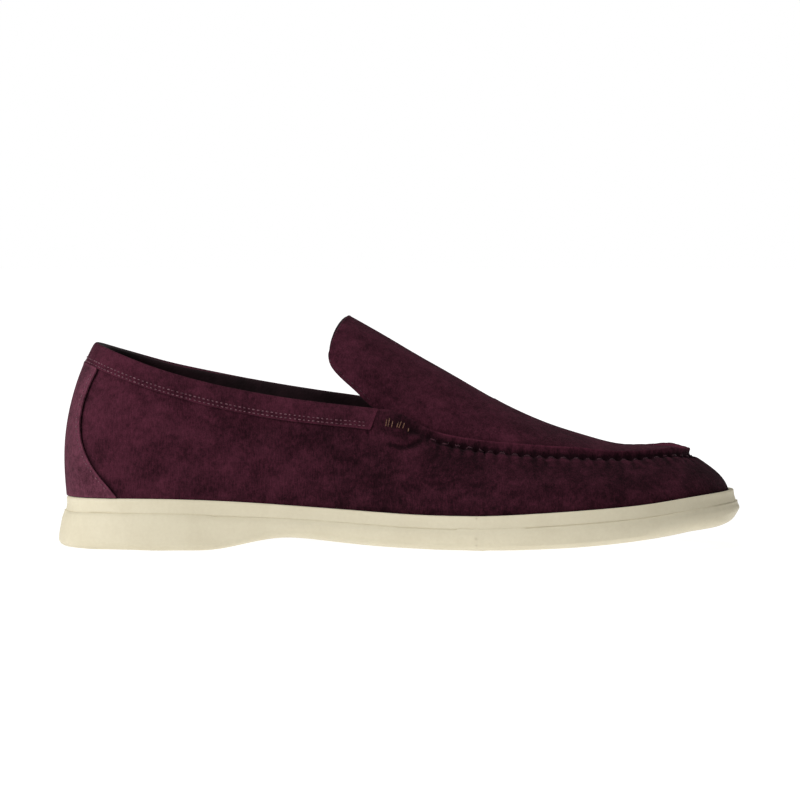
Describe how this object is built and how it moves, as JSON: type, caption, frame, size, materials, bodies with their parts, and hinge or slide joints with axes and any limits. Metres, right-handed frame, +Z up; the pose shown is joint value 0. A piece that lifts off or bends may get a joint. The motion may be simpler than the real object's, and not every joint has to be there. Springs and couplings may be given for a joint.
{
  "type": "slip-on loafer",
  "caption": "Suede moccasin-style slip-on shoe for the right foot, with a tall tongue, a raised apron seam and a cream rubber sole that flexes at the ball.",
  "frame": {"origin": "centre of the shoe's outline, on the ground", "axes": "+X from heel to toe, +Y to the inner (medial) side, +Z up"},
  "size_m": [0.3, 0.1054, 0.102],
  "materials": {
    "suede": "plum suede with a short nap",
    "lining": "dark smooth lining leather",
    "sole_rubber": "matt cream rubber",
    "foam": "soft closed-cell foam",
    "fibreboard": "pressed cellulose board",
    "spring_steel": "plain spring steel strip",
    "thread": "twisted sewing thread, dusty plum",
    "tan_thread": "waxed tan thread, sewn by hand"
  },
  "bodies": {
    "rearfoot": {"outsole_rear": "sole_rubber", "midsole_rear": "sole_rubber", "heel_filler": "foam", "shank": "spring_steel", "forepart_filler_rear": "fibreboard", "insole_board_rear": "fibreboard", "footbed_foam_rear": "foam", "sock_liner_rear": "lining", "wall_rear": "suede", "lining_rear": "lining", "heel_counter": "fibreboard", "collar_padding": "foam", "collar_band": "suede", "heel_patch": "suede", "apron_rear": "suede", "apron_lining_rear": "lining", "collar_thread_upper": "thread", "collar_thread_lower": "thread", "heel_patch_thread_lateral": "thread", "heel_patch_thread_medial": "thread", "seam_thread_lateral_rear": "thread", "seam_thread_medial_rear": "thread", "tongue_edge_thread": "thread", "throat_tack_lateral": "tan_thread", "throat_tack_medial": "tan_thread"},
    "forefoot": {"outsole_front": "sole_rubber", "midsole_front": "sole_rubber", "forepart_filler_front": "fibreboard", "insole_board_front": "fibreboard", "footbed_foam_front": "foam", "sock_liner_front": "lining", "wall_front": "suede", "lining_front": "lining", "toe_puff": "fibreboard", "apron_front": "suede", "apron_lining_front": "lining", "seam_thread_lateral_front": "thread", "seam_thread_medial_front": "thread"}
  },
  "joints": [
    {"name": "toe_flex", "type": "hinge", "parent": "rearfoot", "child": "forefoot", "pos_m": [0.042, 0, 0.0172], "axis": [-0.1736, -0.9848, 0], "range_deg": [0, 35], "stiffness_Nm_per_rad": 2, "deforming": ["wall_rear", "wall_front", "lining_rear", "lining_front", "apron_rear", "apron_front", "apron_lining_rear", "apron_lining_front", "footbed_foam_rear", "footbed_foam_front", "sock_liner_rear", "sock_liner_front", "seam_thread_lateral_rear", "seam_thread_lateral_front", "seam_thread_medial_rear", "seam_thread_medial_front"]}
  ]
}
